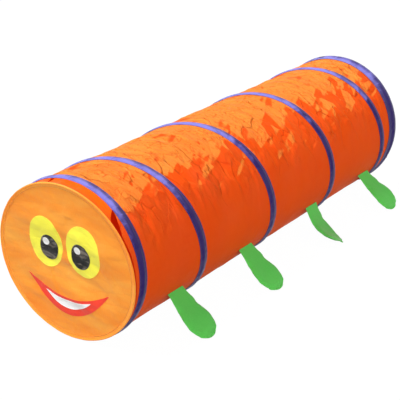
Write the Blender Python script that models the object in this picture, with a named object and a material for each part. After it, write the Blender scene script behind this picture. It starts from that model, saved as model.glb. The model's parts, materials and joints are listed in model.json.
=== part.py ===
"""A child's pop-up crawl tunnel with a face on its front flap and padded legs along both sides.

Metres, +Z up. X runs along the tunnel, from the face flap to the open rear end, and the origin is
on the floor under the middle of the whole toy. Angles round the tunnel are given in turns, counted
from the floor up the right side (+Y), over the top and down the left side (-Y).
"""
import math

import bmesh
import bpy
from mathutils import Vector

for old in list(bpy.data.objects):
    bpy.data.objects.remove(old)

# Clearance between neighbours that touch on the real toy
FIT_GAP = 0.0003

# Cover: four lengths of thin cloth, one for each turn of the coil between the two end hoops
COVER_RADIUS = 0.2362
COVER_THICKNESS = 0.0010
HOOP_SPACING = 1.520
TURN_SHARES = (0.249, 0.256, 0.253, 0.242)
WALL_FACETS = 36

# Spring wire and the crimped sleeves that close its hoops
WIRE_RADIUS = 0.0012
WIRE_SIDES = 6
WIRE_END_GAP = 0.0010
SLEEVE_FIT = 0.00008
SLEEVE_WALL = 0.0004
SLEEVE_LENGTH = 0.022
SLEEVE_SIDES = 8
SLEEVE_TURN = 5 / WALL_FACETS

# Tape sewn over the wire: two flat edges with a channel between them
TAPE_WIDTH = 0.032
TAPE_THICKNESS = 0.0008
TAPE_SHOULDER = 0.0045

# Face flap: a cloth disc stretched on its own hoop, leaning out at the top
FACE_INSET = 0.0020
FACE_TOP_REACH = 0.058
FACE_BOTTOM_REACH = 0.020
FACE_FLOOR_GAP = 0.0015
FACE_THICKNESS = 0.0010
FACE_FACETS = 48
HEM_WIDTH = 0.014
HEM_THICKNESS = 0.0008
FACE_SLEEVE_TURN = 12 / FACE_FACETS

# Strips of cloth that hang the flap from the front hoop, and where each runs, in turns
STRIP_THICKNESS = 0.0008
STRIP_STEPS = 8
LEFT_STRIP_TURNS = (0.466, 0.605)
RIGHT_STRIP_TURNS = (0.345, 0.458)

# Patches sewn on the face, measured from the disc's centre
PATCH_THICKNESS = 0.0005
OVAL_POINTS = 28
EYE_SPREAD = 0.066
EYE_RISE = 0.050
EYE_HALF_WIDTH = 0.058
EYE_HALF_HEIGHT = 0.078
PUPIL_IN = 0.010
PUPIL_DROP = 0.016
PUPIL_HALF_WIDTH = 0.031
PUPIL_HALF_HEIGHT = 0.038
GLINT_UP = 0.017
GLINT_SIDE = 0.009
GLINT_RADIUS = 0.0105
MOUTH_DROP = 0.066
MOUTH_HALF_WIDTH = 0.142
MOUTH_UPPER_SAG = 0.044
MOUTH_LOWER_SAG = 0.098
TEETH_HALF_WIDTH = 0.080
TEETH_MARGIN = 0.009
TEETH_DEPTH = 0.024
MOUTH_POINTS = 14

# Legs: flat padded paddles, sewn to the cover by their narrow end
LEG_LENGTH = 0.168
LEG_ROOT_HALF_WIDTH = 0.036
LEG_NECK = 0.048
LEG_FOOT_RADIUS = 0.0545
LEG_THICKNESS = 0.0045
LEG_SEAM_THICKNESS = 0.0012
LEG_SEAM_LENGTH = 0.008
LEG_NECK_STEPS = 3
LEG_WIDEN_STEPS = 6
LEG_ROUND_STEPS = 6
LEG_ROUND_END_DEG = 82
LEG_EDGE_SHARE = 0.62
RIGHT_LEG_TURN = 60 / 360
LEFT_LEG_TURN = 300 / 360
LEG_PLACE_SHARES = (0.51, 0.48, 0.55, 0.55)
# Each leg's slope below level at its seam and at its tip, its twist at the tip and its lean to the rear
LEFT_LEG_DEGREES = ((46, 42, 0, 4), (47, 40, 0, 5), (72, 13, 26, 4), (36, 54, 0, 9))
RIGHT_LEG_DEGREES = ((44, 43, 0, 4), (46, 42, 0, 4), (40, 48, 0, 5), (45, 43, 0, 4))

# Colours are linear red, green and blue
MATERIALS = {
    "orange_cloth": ((0.86, 0.13, 0.02), 0.55, 0.0),
    "flap_cloth": ((0.96, 0.30, 0.05), 0.50, 0.0),
    "purple_tape": ((0.10, 0.06, 0.42), 0.45, 0.0),
    "green_cloth": ((0.08, 0.42, 0.08), 0.60, 0.0),
    "yellow_patch": ((0.95, 0.90, 0.10), 0.45, 0.0),
    "black_patch": ((0.02, 0.02, 0.02), 0.30, 0.0),
    "white_patch": ((0.90, 0.90, 0.88), 0.45, 0.0),
    "red_patch": ((0.80, 0.05, 0.03), 0.45, 0.0),
    "spring_steel": ((0.45, 0.46, 0.48), 0.35, 1.0),
    "crimp_brass": ((0.70, 0.52, 0.22), 0.35, 1.0),
}

# Worked out from the sizes above
turn_pitches = [HOOP_SPACING * share for share in TURN_SHARES]
coil_turns = len(turn_pitches)
sleeve_bore = (WIRE_RADIUS + SLEEVE_FIT) / math.cos(math.pi / SLEEVE_SIDES)
sleeve_radius = sleeve_bore + SLEEVE_WALL
channel_half = sleeve_radius + FIT_GAP
channel_top = 2 * channel_half
tape_crest = channel_top + TAPE_THICKNESS
tape_half = TAPE_WIDTH / 2
crest_radius = COVER_RADIUS + tape_crest
axis_height = crest_radius * math.cos(math.pi / WALL_FACETS)
front_x = (FACE_TOP_REACH - HOOP_SPACING - tape_half) / 2
rear_x = front_x + HOOP_SPACING
face_radius = crest_radius - FACE_INSET
face_lean = math.asin((FACE_TOP_REACH - FACE_BOTTOM_REACH) / (2 * face_radius))
face_centre = Vector((
    front_x - (FACE_TOP_REACH + FACE_BOTTOM_REACH) / 2,
    0,
    FACE_FLOOR_GAP + face_radius * math.cos(face_lean),
))
face_wire_radius = face_radius - HEM_THICKNESS - channel_half
face_panel_radius = face_wire_radius - channel_half - FIT_GAP
hem_half = channel_half + HEM_THICKNESS
flap_hinge = Vector((front_x - tape_half - FIT_GAP, 0, axis_height + crest_radius))


def material(name):
    """The named finish as a Principled material, made once."""
    found = bpy.data.materials.get(name)
    if found:
        return found
    colour, roughness, metallic = MATERIALS[name]
    made = bpy.data.materials.new(name)
    made.use_nodes = True
    made.diffuse_color = (*colour, 1)
    shader = made.node_tree.nodes["Principled BSDF"]
    shader.inputs["Base Color"].default_value = (*colour, 1)
    shader.inputs["Roughness"].default_value = roughness
    shader.inputs["Metallic"].default_value = metallic
    return made


def pivot(name, place):
    """An empty on a joint's axis, for the pieces that turn about it."""
    empty = bpy.data.objects.new(name, None)
    empty.location = place
    bpy.context.scene.collection.objects.link(empty)
    return empty


def loft(name, rings, finish, closed=False, parent=None):
    """One solid through rings of points: closed round on itself, or with flat ends."""
    origin = parent.location if parent else Vector()
    mesh = bpy.data.meshes.new(name)
    bm = bmesh.new()
    loops = [[bm.verts.new(point - origin) for point in ring] for ring in rings]
    pairs = list(zip(loops, loops[1:]))
    if closed:
        pairs.append((loops[-1], loops[0]))
    count = len(loops[0])
    for ring, following in pairs:
        for i in range(count):
            j = (i + 1) % count
            bm.faces.new((ring[i], ring[j], following[j], following[i]))
    if not closed:
        bm.faces.new(loops[0])
        bm.faces.new(loops[-1])
    bmesh.ops.recalc_face_normals(bm, faces=bm.faces)
    bm.to_mesh(mesh)
    bm.free()
    mesh.shade_smooth()
    mesh.set_sharp_from_angle(angle=math.radians(35))
    mesh.materials.append(material(finish))
    piece = bpy.data.objects.new(name, mesh)
    piece.parent = parent
    bpy.context.scene.collection.objects.link(piece)
    return piece


def on_facets(turn, facets, corner):
    """A point on a ring of straight facets, of which one is centred on turn 0."""
    place = turn * facets - 0.5
    first = math.floor(place)
    return corner((first + 0.5) / facets).lerp(corner((first + 1.5) / facets), place - first)


def on_wall(turn, x, height):
    """A point at a height over the cover's outer face."""
    radius = COVER_RADIUS + height

    def corner(at):
        angle = math.tau * at
        return Vector((x, radius * math.sin(angle), axis_height - radius * math.cos(angle)))

    return on_facets(turn, WALL_FACETS, corner)


def on_face(right, up, out):
    """A point given from the disc's centre: to the viewer's right (-Y), up the disc, and out of it."""
    sine, cosine = math.sin(face_lean), math.cos(face_lean)
    return face_centre + Vector((-up * sine - out * cosine, -right, up * cosine - out * sine))


def on_rim(turn, out, radius):
    """A point of a ring round the face, as far out of its plane as given."""

    def corner(at):
        angle = math.tau * at
        return on_face(-radius * math.sin(angle), -radius * math.cos(angle), out)

    return on_facets(turn, FACE_FACETS, corner)


def coil_x(turn):
    """How far back the coil has come after a number of turns."""
    whole = min(max(math.floor(turn), 0), coil_turns - 1)
    return front_x + sum(turn_pitches[:whole]) + (turn - whole) * turn_pitches[whole]


def corner_turns(facets):
    """The turns at all the corners of a ring."""
    return [(i + 0.5) / facets for i in range(facets)]


def turns_between(start, end, facets):
    """A stretch of a ring or coil: its two ends, and the corners between them."""
    first = math.floor(start * facets + 0.5)
    last = math.ceil(end * facets - 0.5)
    return [start, *[(i + 0.5) / facets for i in range(first, last)], end]


def circle(radius, sides):
    """Points of a small circle, as pairs."""
    return [
        (radius * math.cos(math.tau * i / sides), radius * math.sin(math.tau * i / sides))
        for i in range(sides)
    ]


def tape_profile(stretch=1.0):
    """The tape's section: how far to the side and how high over the cover each point is."""
    low, high = FIT_GAP, FIT_GAP + TAPE_THICKNESS
    edge, shoulder = tape_half, channel_half + TAPE_SHOULDER
    right = [
        (channel_half, channel_top),
        (channel_half, low),
        (edge, low),
        (edge, high),
        (shoulder, high),
        (channel_half, tape_crest),
    ]
    left = [(-side, height) for side, height in reversed(right)]
    return [(side * stretch, height) for side, height in right + left]


def wire_profile(stretch=1.0):
    """The wire's section in the middle of the tape's channel."""
    return [(side * stretch, channel_half + up) for side, up in circle(WIRE_RADIUS, WIRE_SIDES)]


def sleeve(name, place, turn, facets, parent=None):
    """A crimped tube over the two ends of a hoop's wire, along the facet that holds them."""
    before = place(turn - 0.5 / facets, 0, 0)
    after = place(turn + 0.5 / facets, 0, 0)
    centre = (before + after) / 2
    along = (after - before).normalized()
    outward = (place(turn, 0, channel_half) - place(turn, 0, 0)).normalized()
    across = along.cross(outward)
    half = SLEEVE_LENGTH / 2
    section = [
        (sleeve_bore, -half), (sleeve_bore, half), (sleeve_radius, half), (sleeve_radius, -half)
    ]
    rings = []
    for side, up in circle(1, SLEEVE_SIDES):
        spoke = across * side + outward * up
        rings.append([centre + spoke * radius + along * at for radius, at in section])
    return loft(name, rings, "crimp_brass", closed=True, parent=parent)


def hoop(prefix, x):
    """An end hoop: the sewn tape, the ring of wire in its channel, and the sleeve on the wire."""

    def place(turn, side, height):
        return on_wall(turn, x + side, height)

    def wire_place(turn, side, height):
        return on_wall(turn, x + side, channel_half + height)

    profile = tape_profile()
    rings = [[place(turn, *point) for point in profile] for turn in corner_turns(WALL_FACETS)]
    loft(prefix + "_hoop_tape", rings, "purple_tape", closed=True)
    half_gap = WIRE_END_GAP / (2 * math.tau * COVER_RADIUS)
    turns = turns_between(SLEEVE_TURN + half_gap, SLEEVE_TURN + 1 - half_gap, WALL_FACETS)
    profile = wire_profile()
    loft(
        prefix + "_hoop_wire",
        [[place(turn, *point) for point in profile] for turn in turns],
        "spring_steel",
    )
    sleeve(prefix + "_wire_sleeve", wire_place, SLEEVE_TURN, WALL_FACETS)


def coil():
    """The coil's wire and the tape that holds it on the cover, from hoop tape to hoop tape."""
    slope = HOOP_SPACING / coil_turns / (math.tau * COVER_RADIUS)
    stretch = math.hypot(1, slope)
    clear = tape_half + FIT_GAP + tape_half * stretch
    start = clear / turn_pitches[0]
    end = coil_turns - clear / turn_pitches[-1]

    def place(turn, side, height):
        return on_wall(turn, coil_x(turn) + side, height)

    turns = turns_between(start, end, WALL_FACETS)
    for name, profile, finish in (
        ("coil_tape", tape_profile(stretch), "purple_tape"),
        ("coil_wire", wire_profile(stretch), "spring_steel"),
    ):
        loft(name, [[place(turn, *point) for point in profile] for turn in turns], finish)
    least = min(
        (place(turn + 1, 0, 0) - place(turn, 0, 0)).length - 2 * WIRE_RADIUS * stretch
        for turn in turns
        if turn + 1 <= end
    )
    print(f"the coil's turns lie at least {least * 1000:.1f} mm apart")


def cover():
    """Four tubes of cloth end to end, the outer two reaching under the hoop tapes to their edges."""
    start = front_x - tape_half
    for number, pitch in enumerate(turn_pitches, 1):
        seam = front_x + sum(turn_pitches[:number])
        end = rear_x + tape_half if number == coil_turns else seam - FIT_GAP / 2
        section = [(start, 0), (end, 0), (end, -COVER_THICKNESS), (start, -COVER_THICKNESS)]
        rings = [
            [on_wall(turn, x, height) for x, height in section] for turn in corner_turns(WALL_FACETS)
        ]
        loft(f"cover_panel_{number}", rings, "orange_cloth", closed=True)
        start = seam + FIT_GAP / 2


def face_flap():
    """The disc, its hem with the wire inside, and the strips that hang it from the front hoop."""
    hinge = pivot("flap_pivot", flap_hinge)
    half = FACE_THICKNESS / 2
    disc = [
        [on_rim(turn, out, face_panel_radius) for turn in corner_turns(FACE_FACETS)]
        for out in (-half, half)
    ]
    loft("face_panel", disc, "flap_cloth", parent=hinge)
    slot = half + FIT_GAP
    lip = slot + HEM_THICKNESS
    pocket = face_wire_radius - channel_half
    upper = [
        (slot, face_radius - HEM_WIDTH),
        (lip, face_radius - HEM_WIDTH),
        (lip, pocket - HEM_THICKNESS),
        (hem_half, pocket),
        (hem_half, face_radius - HEM_THICKNESS),
        (channel_half, face_radius),
    ]
    inner = [
        (-slot, pocket),
        (-channel_half, pocket),
        (-channel_half, face_radius - HEM_THICKNESS),
        (channel_half, face_radius - HEM_THICKNESS),
        (channel_half, pocket),
        (slot, pocket),
    ]
    section = upper + [(-out, radius) for out, radius in reversed(upper)] + inner
    rings = [[on_rim(turn, *point) for point in section] for turn in corner_turns(FACE_FACETS)]
    loft("face_hem", rings, "flap_cloth", closed=True, parent=hinge)

    def wire_place(turn, out, rise):
        return on_rim(turn, out, face_wire_radius + rise)

    half_gap = WIRE_END_GAP / (2 * math.tau * face_wire_radius)
    turns = turns_between(
        FACE_SLEEVE_TURN + half_gap, FACE_SLEEVE_TURN + 1 - half_gap, FACE_FACETS
    )
    section = circle(WIRE_RADIUS, WIRE_SIDES)
    rings = [[wire_place(turn, *point) for point in section] for turn in turns]
    loft("face_hoop_wire", rings, "spring_steel", parent=hinge)
    sleeve("face_wire_sleeve", wire_place, FACE_SLEEVE_TURN, FACE_FACETS, parent=hinge)
    for name, (start, end) in (
        ("left_flap_strip", LEFT_STRIP_TURNS),
        ("right_flap_strip", RIGHT_STRIP_TURNS),
    ):
        rings = []
        for step in range(STRIP_STEPS + 1):
            turn = start + (end - start) * step / STRIP_STEPS
            rings.append([
                on_wall(turn, front_x - tape_half - FIT_GAP, FIT_GAP),
                on_wall(turn, front_x - tape_half - FIT_GAP, FIT_GAP + STRIP_THICKNESS),
                on_rim(turn, -hem_half - FIT_GAP, face_wire_radius + STRIP_THICKNESS),
                on_rim(turn, -hem_half - FIT_GAP, face_wire_radius),
            ])
        loft(name, rings, "orange_cloth", parent=hinge)
    face_patches(hinge)


def patch(name, outline, layer, finish, hinge):
    """A flat piece of cloth on the front of the face, on top of as many layers as given."""
    low = FACE_THICKNESS / 2 + FIT_GAP + layer * (PATCH_THICKNESS + FIT_GAP)
    rings = [[on_face(x, y, out) for x, y in outline] for out in (low, low + PATCH_THICKNESS)]
    loft(name, rings, finish, parent=hinge)


def oval(x, y, half_width, half_height):
    """An oval outline round a centre."""
    return [
        (x + half_width * side, y + half_height * up) for side, up in circle(1, OVAL_POINTS)
    ]


def smile(half_width, top, upper_sag, lower_sag, end_drop=0.0):
    """A crescent between two sagging curves that meet at its corners, or nearly so."""
    places = [-1 + 2 * i / MOUTH_POINTS for i in range(MOUTH_POINTS + 1)]
    upper = [(half_width * at, top - upper_sag * (1 - at * at)) for at in places]
    lower = [
        (half_width * at, top - end_drop - lower_sag * (1 - at * at)) for at in reversed(places)
    ]
    return upper + (lower if end_drop else lower[1:-1])


def face_patches(hinge):
    """A plain smiling face: two eyes with round pupils, and a mouth with a white band."""
    for name, side in (("left", 1), ("right", -1)):
        x, y = side * EYE_SPREAD, EYE_RISE
        patch(name + "_eye", oval(x, y, EYE_HALF_WIDTH, EYE_HALF_HEIGHT), 0, "yellow_patch", hinge)
        x, y = x - side * PUPIL_IN, y - PUPIL_DROP
        pupil = oval(x, y, PUPIL_HALF_WIDTH, PUPIL_HALF_HEIGHT)
        patch(name + "_pupil", pupil, 1, "black_patch", hinge)
        glint = oval(x - GLINT_SIDE, y + GLINT_UP, GLINT_RADIUS, GLINT_RADIUS)
        patch(name + "_glint", glint, 2, "white_patch", hinge)
    mouth = smile(MOUTH_HALF_WIDTH, -MOUTH_DROP, MOUTH_UPPER_SAG, MOUTH_LOWER_SAG)
    patch("mouth", mouth, 0, "red_patch", hinge)
    share = 1 - (TEETH_HALF_WIDTH / MOUTH_HALF_WIDTH) ** 2
    top = -MOUTH_DROP - TEETH_MARGIN - MOUTH_UPPER_SAG * share
    sag = MOUTH_UPPER_SAG * (1 - share)
    teeth = smile(TEETH_HALF_WIDTH, top, sag, sag + TEETH_DEPTH)
    patch("teeth", teeth, 1, "white_patch", hinge)


def leg_rows():
    """Along the paddle: distance from the seam, half its width and half its thickness."""
    half = LEG_THICKNESS / 2
    centre = LEG_LENGTH - LEG_FOOT_RADIUS
    rows = [(0.0, LEG_ROOT_HALF_WIDTH, LEG_SEAM_THICKNESS / 2)]
    for step in range(LEG_NECK_STEPS + 1):
        at = LEG_SEAM_LENGTH + (LEG_NECK - LEG_SEAM_LENGTH) * step / LEG_NECK_STEPS
        rows.append((at, LEG_ROOT_HALF_WIDTH, half))
    for step in range(1, LEG_WIDEN_STEPS + 1):
        share = step / LEG_WIDEN_STEPS
        ease = share * share * (3 - 2 * share)
        width = LEG_ROOT_HALF_WIDTH + (LEG_FOOT_RADIUS - LEG_ROOT_HALF_WIDTH) * ease
        rows.append((LEG_NECK + (centre - LEG_NECK) * share, width, half))
    for step in range(1, LEG_ROUND_STEPS + 1):
        angle = math.radians(LEG_ROUND_END_DEG) * step / LEG_ROUND_STEPS
        rows.append((
            centre + LEG_FOOT_RADIUS * math.sin(angle), LEG_FOOT_RADIUS * math.cos(angle), half
        ))
    return rows


def leg(name, x, turn, degrees):
    """One paddle: its seam lies flat on the cover, and it slopes away to the floor from there."""
    slope_root, slope_tip, twist_tip, lean = (math.radians(each) for each in degrees)
    seam = on_wall(turn, x, FIT_GAP)
    side = math.copysign(1, seam.y)
    outward = (on_wall(turn, x, COVER_RADIUS) - seam).normalized()
    hinge = pivot(name + "_seam", seam)
    rings = []
    for along, half_width, half_thickness in leg_rows():
        bend = (slope_tip - slope_root) * along / LEG_LENGTH
        reach = along * (math.sin(bend / 2) / (bend / 2) if bend else 1)
        chord = slope_root + bend / 2
        middle = seam + Vector((
            along * math.tan(lean), side * reach * math.cos(chord), -reach * math.sin(chord)
        ))
        slope = slope_root + bend
        top = Vector((0, side * math.sin(slope), math.cos(slope)))
        if not along:
            top = Vector((0, -outward.z * side, outward.y * side))
        twist = twist_tip * along / LEG_LENGTH
        across = Vector((math.cos(twist), 0, 0)) - top * math.sin(twist)
        top = top * math.cos(twist) + Vector((math.sin(twist), 0, 0))
        edge = half_width * LEG_EDGE_SHARE
        section = (
            (half_width, 0), (edge, half_thickness), (-edge, half_thickness),
            (-half_width, 0), (-edge, -half_thickness), (edge, -half_thickness),
        )
        rings.append([middle + across * wide + top * thick for wide, thick in section])
    loft(name, rings, "green_cloth", parent=hinge)


def legs():
    """A pair of legs near the middle of each cover panel."""
    for number, share in enumerate(LEG_PLACE_SHARES):
        x = front_x + sum(turn_pitches[:number]) + share * turn_pitches[number]
        leg(f"left_leg_{number + 1}", x, LEFT_LEG_TURN, LEFT_LEG_DEGREES[number])
        leg(f"right_leg_{number + 1}", x, RIGHT_LEG_TURN, RIGHT_LEG_DEGREES[number])


hoop("front", front_x)
hoop("rear", rear_x)
coil()
cover()
face_flap()
legs()
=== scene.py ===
"""Dresses a child's pop-up crawl tunnel: cloth cover, sprung coil, face flap and padded legs."""
import json
import math

import bpy
import numpy as np
from mathutils import Matrix, Vector, noise


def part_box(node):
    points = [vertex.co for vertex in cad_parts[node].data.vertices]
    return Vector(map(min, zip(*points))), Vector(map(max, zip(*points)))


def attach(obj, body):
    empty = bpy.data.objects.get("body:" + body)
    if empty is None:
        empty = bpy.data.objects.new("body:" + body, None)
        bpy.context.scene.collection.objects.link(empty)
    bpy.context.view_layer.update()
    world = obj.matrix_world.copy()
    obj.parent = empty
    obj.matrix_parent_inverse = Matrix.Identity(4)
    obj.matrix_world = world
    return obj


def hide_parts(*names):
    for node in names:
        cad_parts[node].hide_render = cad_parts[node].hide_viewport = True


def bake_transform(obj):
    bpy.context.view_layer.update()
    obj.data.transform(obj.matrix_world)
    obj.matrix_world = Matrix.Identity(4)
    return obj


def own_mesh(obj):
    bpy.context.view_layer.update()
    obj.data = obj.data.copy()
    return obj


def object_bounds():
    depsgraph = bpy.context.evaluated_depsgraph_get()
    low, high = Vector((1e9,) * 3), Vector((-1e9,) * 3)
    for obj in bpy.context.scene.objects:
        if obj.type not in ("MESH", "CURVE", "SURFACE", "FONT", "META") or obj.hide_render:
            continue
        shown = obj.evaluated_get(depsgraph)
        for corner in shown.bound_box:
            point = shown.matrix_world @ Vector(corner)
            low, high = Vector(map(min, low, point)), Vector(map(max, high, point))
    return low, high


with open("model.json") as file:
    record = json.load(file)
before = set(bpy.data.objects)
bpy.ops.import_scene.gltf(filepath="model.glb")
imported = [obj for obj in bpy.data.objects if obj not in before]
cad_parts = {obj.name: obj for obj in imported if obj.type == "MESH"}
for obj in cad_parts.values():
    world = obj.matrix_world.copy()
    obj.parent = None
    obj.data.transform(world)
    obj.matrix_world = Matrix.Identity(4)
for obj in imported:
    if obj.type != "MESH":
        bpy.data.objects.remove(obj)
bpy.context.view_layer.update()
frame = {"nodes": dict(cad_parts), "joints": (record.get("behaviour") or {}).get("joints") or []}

# COVER
# One tube of thin orange polyester taffeta, sewn shut along the floor and stitched to every band.
# Tension between the bands draws it in a little, and being packed away has left it crumpled.

front_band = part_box("front_hoop_tape")
rear_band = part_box("rear_hoop_tape")
front_x = (front_band[0].x + front_band[1].x) / 2
rear_x = (rear_band[0].x + rear_band[1].x) / 2
tape_half = (front_band[1].x - front_band[0].x) / 2
axis_z = (front_band[0].z + front_band[1].z) / 2
COVER_OUTSIDE = 0.0004
cover_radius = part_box("cover_panel_2")[1].y + COVER_OUTSIDE
cover_round = math.tau * cover_radius
seam_x = [front_x, *(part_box(f"cover_panel_{k}")[1].x for k in (1, 2, 3)), rear_x]
COVER_THICKNESS = 0.0005
COVER_INSET = 0.0001
COVER_STATIONS = 400
COVER_SIDES = 380
COVER_DRAW_IN = 0.0018
COVER_TOP_SAG = 0.0010
FULL_SPAN = 0.38
FLOOR_SEAM_TURN = 0.08
HELD_SHARE = 0.8
FREE_REACH = 0.030
COVER_SWELL = 0.0016
SWELL_SIZE = 0.13
CRUMPLES = ((0.095, 0.015), (0.052, 0.0195), (0.027, 0.0090))
CRUMPLE_STRETCH = 0.45
CRUMPLE_SLANT = 0.35
CRUMPLED_BELOW, CRUMPLED_ABOVE, CRUMPLED_SHOULDER = 0.06, 0.30, 0.45
CRUMPLED_UNEVEN, UNEVEN_SIZE = 0.7, 0.16
CREASE_SHARPNESS = 22.0
SHOULDER_TURN = 0.635
SHOULDER_REACH = 0.060
PUCKER_REACH = 0.045
PUCKER_DEPTH = 0.0011
PUCKER_SIZE = 0.045
PUCKER_STRETCH = (1, 3.0, 3.0)
SKIRT_TURNS = (0.612, 0.660, 0.850, 0.900)
SKIRT_SHARE = 0.62
SEWN_SHARE = 0.96
edge_half = SEWN_SHARE * tape_half
REAR_TAPE_EXTRA = 0.018
EDGE_LAP = 0.011
EDGE_TUCK = 0.0009
FRONT_TUCK = (0.004, 0.009)
REAR_TUCK = (-0.006, -0.011)
EDGE_STATIONS = 22
SHARP_DEG = 50
WEAVE_DEPTH = 0.00004
SLUB_STRETCH = (900.0, 60.0, 1.0)
SOILED_ROUGHER = 0.10
FINER_CREASES = (2.6, 1.9)
FINE_CREASES = 0.55
CLOUD_SHARE, RIDGE_SHARE, FACET_SHARE = 1.20, 1.3, 0.36
CRUSHED_FROM_TO = (0.46, 1.15)
LEAST_CRUSHED = 0.03
ORANGE_LIT = (0.86, 0.087, 0.0080, 1)
ORANGE_DEEP = (0.80, 0.068, 0.0055, 1)
# painted light: the next colour is the lighter orange painted over the tube's sunlit top
ORANGE_PAINTED_SUNLIGHT = (0.97, 0.215, 0.0340, 1)
INNER_GLOW = (0.50, 0.026, 0.0010, 1)
INNER_GLOW_STRENGTH = 0.26


def coil_x(turn):
    """Where the coil lies along the tunnel after some turns from the floor under the front hoop."""
    return np.interp(turn, range(len(seam_x)), seam_x)


def round_axis(x, turn, radius):
    """Points round the tunnel's axis; a turn counts from the floor up the right side (+Y)."""
    angle = math.tau * turn
    return np.stack(np.broadcast_arrays(
        x, radius * np.sin(angle), axis_z - radius * np.cos(angle)
    ), axis=-1)


def spokes(count):
    """Angles evenly round a circle."""
    return math.tau * np.arange(count) / count


def eased(value, low, high):
    """0 up to low, 1 from high on, and a smooth rise between them."""
    share = np.clip((value - low) / (high - low), 0, 1)
    return share * share * (3 - 2 * share)


def soft_noise(points, size, seed):
    """Smooth noise from -1 to 1 at each point, with lumps of a size."""
    shift = Vector((seed * 7.31, seed * -3.17, seed * 1.93))
    flat = points.reshape(-1, 3) / size
    return np.array([noise.noise(Vector(p) + shift) for p in flat]).reshape(points.shape[:-1])


def crumple(points, size, seed):
    """Height of crumpled cloth at each point: flat facets of a size that meet in soft creases."""
    shift = Vector((seed * 5.7, seed * 2.3, seed * -4.1))
    heights = []
    for p in points.reshape(-1, 3) / size:
        place = Vector(p) + shift
        gaps, centres = noise.voronoi(place, distance_metric="DISTANCE")
        total = weights = 0.0
        for gap, centre in zip(gaps, centres):
            weight = math.exp(-CREASE_SHARPNESS * (gap - gaps[0]))
            tilt = noise.cell_vector(centre * 3.7)
            total += weight * (tilt - Vector((0.5, 0.5, 0.5))).dot(place - centre)
            weights += weight
        heights.append(total / weights)
    return np.array(heights).reshape(points.shape[:-1])


def into_scene(name, data):
    """A new object for a mesh, a light or a camera, linked to the scene."""
    made = bpy.data.objects.new(name, data)
    bpy.context.scene.collection.objects.link(made)
    return made


def smooth_piece(name, points, faces, uv, finish):
    """A smooth-shaded piece with a finish, and a UV in metres for every corner of its faces."""
    mesh = bpy.data.meshes.new(name)
    mesh.from_pydata(points.tolist(), [], faces)
    layer = mesh.uv_layers.new(name="UVMap")
    layer.data.foreach_set("uv", uv.astype(np.float32).ravel())
    mesh.update()
    mesh.shade_smooth()
    mesh.set_sharp_from_angle(angle=math.radians(SHARP_DEG))
    mesh.materials.append(finish)
    return into_scene(name, mesh)


def sewn(name, rings, along, across, finish, ring_loop=True):
    """A mesh through closed rings of points, with UVs in metres along it and round each ring."""
    count, width = rings.shape[:2]
    i = np.arange(count if ring_loop else count - 1)
    i, j = (grid.ravel() for grid in np.meshgrid(i, np.arange(width), indexing="ij"))
    after_i, after_j = (i + 1) % count, (j + 1) % width
    faces = np.stack([
        i * width + j, i * width + after_j, after_i * width + after_j, after_i * width + j
    ], axis=1).tolist()
    u = np.stack([along[i], along[i], along[i + 1], along[i + 1]], axis=1)
    v = np.stack([across[j], across[j + 1], across[j + 1], across[j]], axis=1)
    uv = np.stack([u.ravel(), v.ravel()], axis=1)
    if not ring_loop:
        faces += [list(range(width))[::-1], list(range((count - 1) * width, count * width))]
        ends = np.stack([np.zeros(width), across[:width]], axis=1)
        uv = np.concatenate([uv, ends[::-1], ends + [along[-1], 0]])
    return smooth_piece(name, rings.reshape(-1, 3), faces, uv, finish)


def run_up(steps):
    """The lengths run up after each of a row's steps, from 0."""
    return np.concatenate([[0], np.cumsum(steps)])


def two_faced(name, outer, inner, along, across, thickness, finish, ring_loop=True):
    """A cloth with an outer and an inner face, which its UVs run over one after the other."""
    back = 2 * across[-1] - across[::-1] + thickness
    steps = np.concatenate([across, back, [back[-1] + thickness]])
    rings = np.concatenate([outer, inner[:, ::-1]], axis=1)
    return sewn(name, rings, along, steps, finish, ring_loop)


def feed(sockets, values):
    """Gives each named socket a plain value, or a link from another socket."""
    for name, value in values.items():
        if isinstance(value, bpy.types.NodeSocket):
            value.id_data.links.new(value, sockets[name])
        else:
            sockets[name].default_value = value


def wire_up(kind, values, **settings):
    """Adds a node to the tree of the sockets that feed it, and gives its outputs."""
    fed_by = (value for value in values.values() if isinstance(value, bpy.types.NodeSocket))
    made = next(fed_by).id_data.nodes.new(kind)
    for name, value in settings.items():
        setattr(made, name, value)
    feed(made.inputs, values)
    return made.outputs


def maths(operation, *values):
    """The result of a math node on values or sockets."""
    return wire_up("ShaderNodeMath", dict(enumerate(values)), operation=operation)[0]


def times(first, second, *plus):
    """Two values or sockets multiplied, and a third one added where it is given."""
    return maths("MULTIPLY_ADD" if plus else "MULTIPLY", first, second, *plus)


def vector_maths(operation, first, second):
    """The result of a vector math node; SCALE takes a number second."""
    where = "Scale" if operation == "SCALE" else 1
    made = wire_up("ShaderNodeVectorMath", {0: first, where: second}, operation=operation)
    return made["Value" if operation == "DOT_PRODUCT" else "Vector"]


def split(vector):
    """A vector's three numbers."""
    return wire_up("ShaderNodeSeparateXYZ", {0: vector})


def ramp(value, low, high, start=0.0, end=1.0, kind="LINEAR"):
    """A number that goes from start to end while a value goes from low to high."""
    return wire_up("ShaderNodeMapRange", {
        "Value": value, "From Min": low, "From Max": high, "To Min": start, "To Max": end
    }, interpolation_type=kind)[0]


def clouds(place, scale=1.0, detail=3.0, **more):
    """The outputs of a noise texture at a place."""
    values = {"Vector": place, "Scale": scale, "Detail": detail, **more}
    return wire_up("ShaderNodeTexNoise", values)


def cells(place, scale, feature="F1", **more):
    """The outputs of a Voronoi texture at a place."""
    values = {"Vector": place, "Scale": scale, **more}
    return wire_up("ShaderNodeTexVoronoi", values, feature=feature)


def raised(height, depth, under=None, strength=1.0):
    """A normal bent by a height, over the normal that is under it."""
    values = {"Height": height, "Strength": strength, "Distance": depth}
    if under is not None:
        values["Normal"] = under
    return wire_up("ShaderNodeBump", values)[0]


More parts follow.
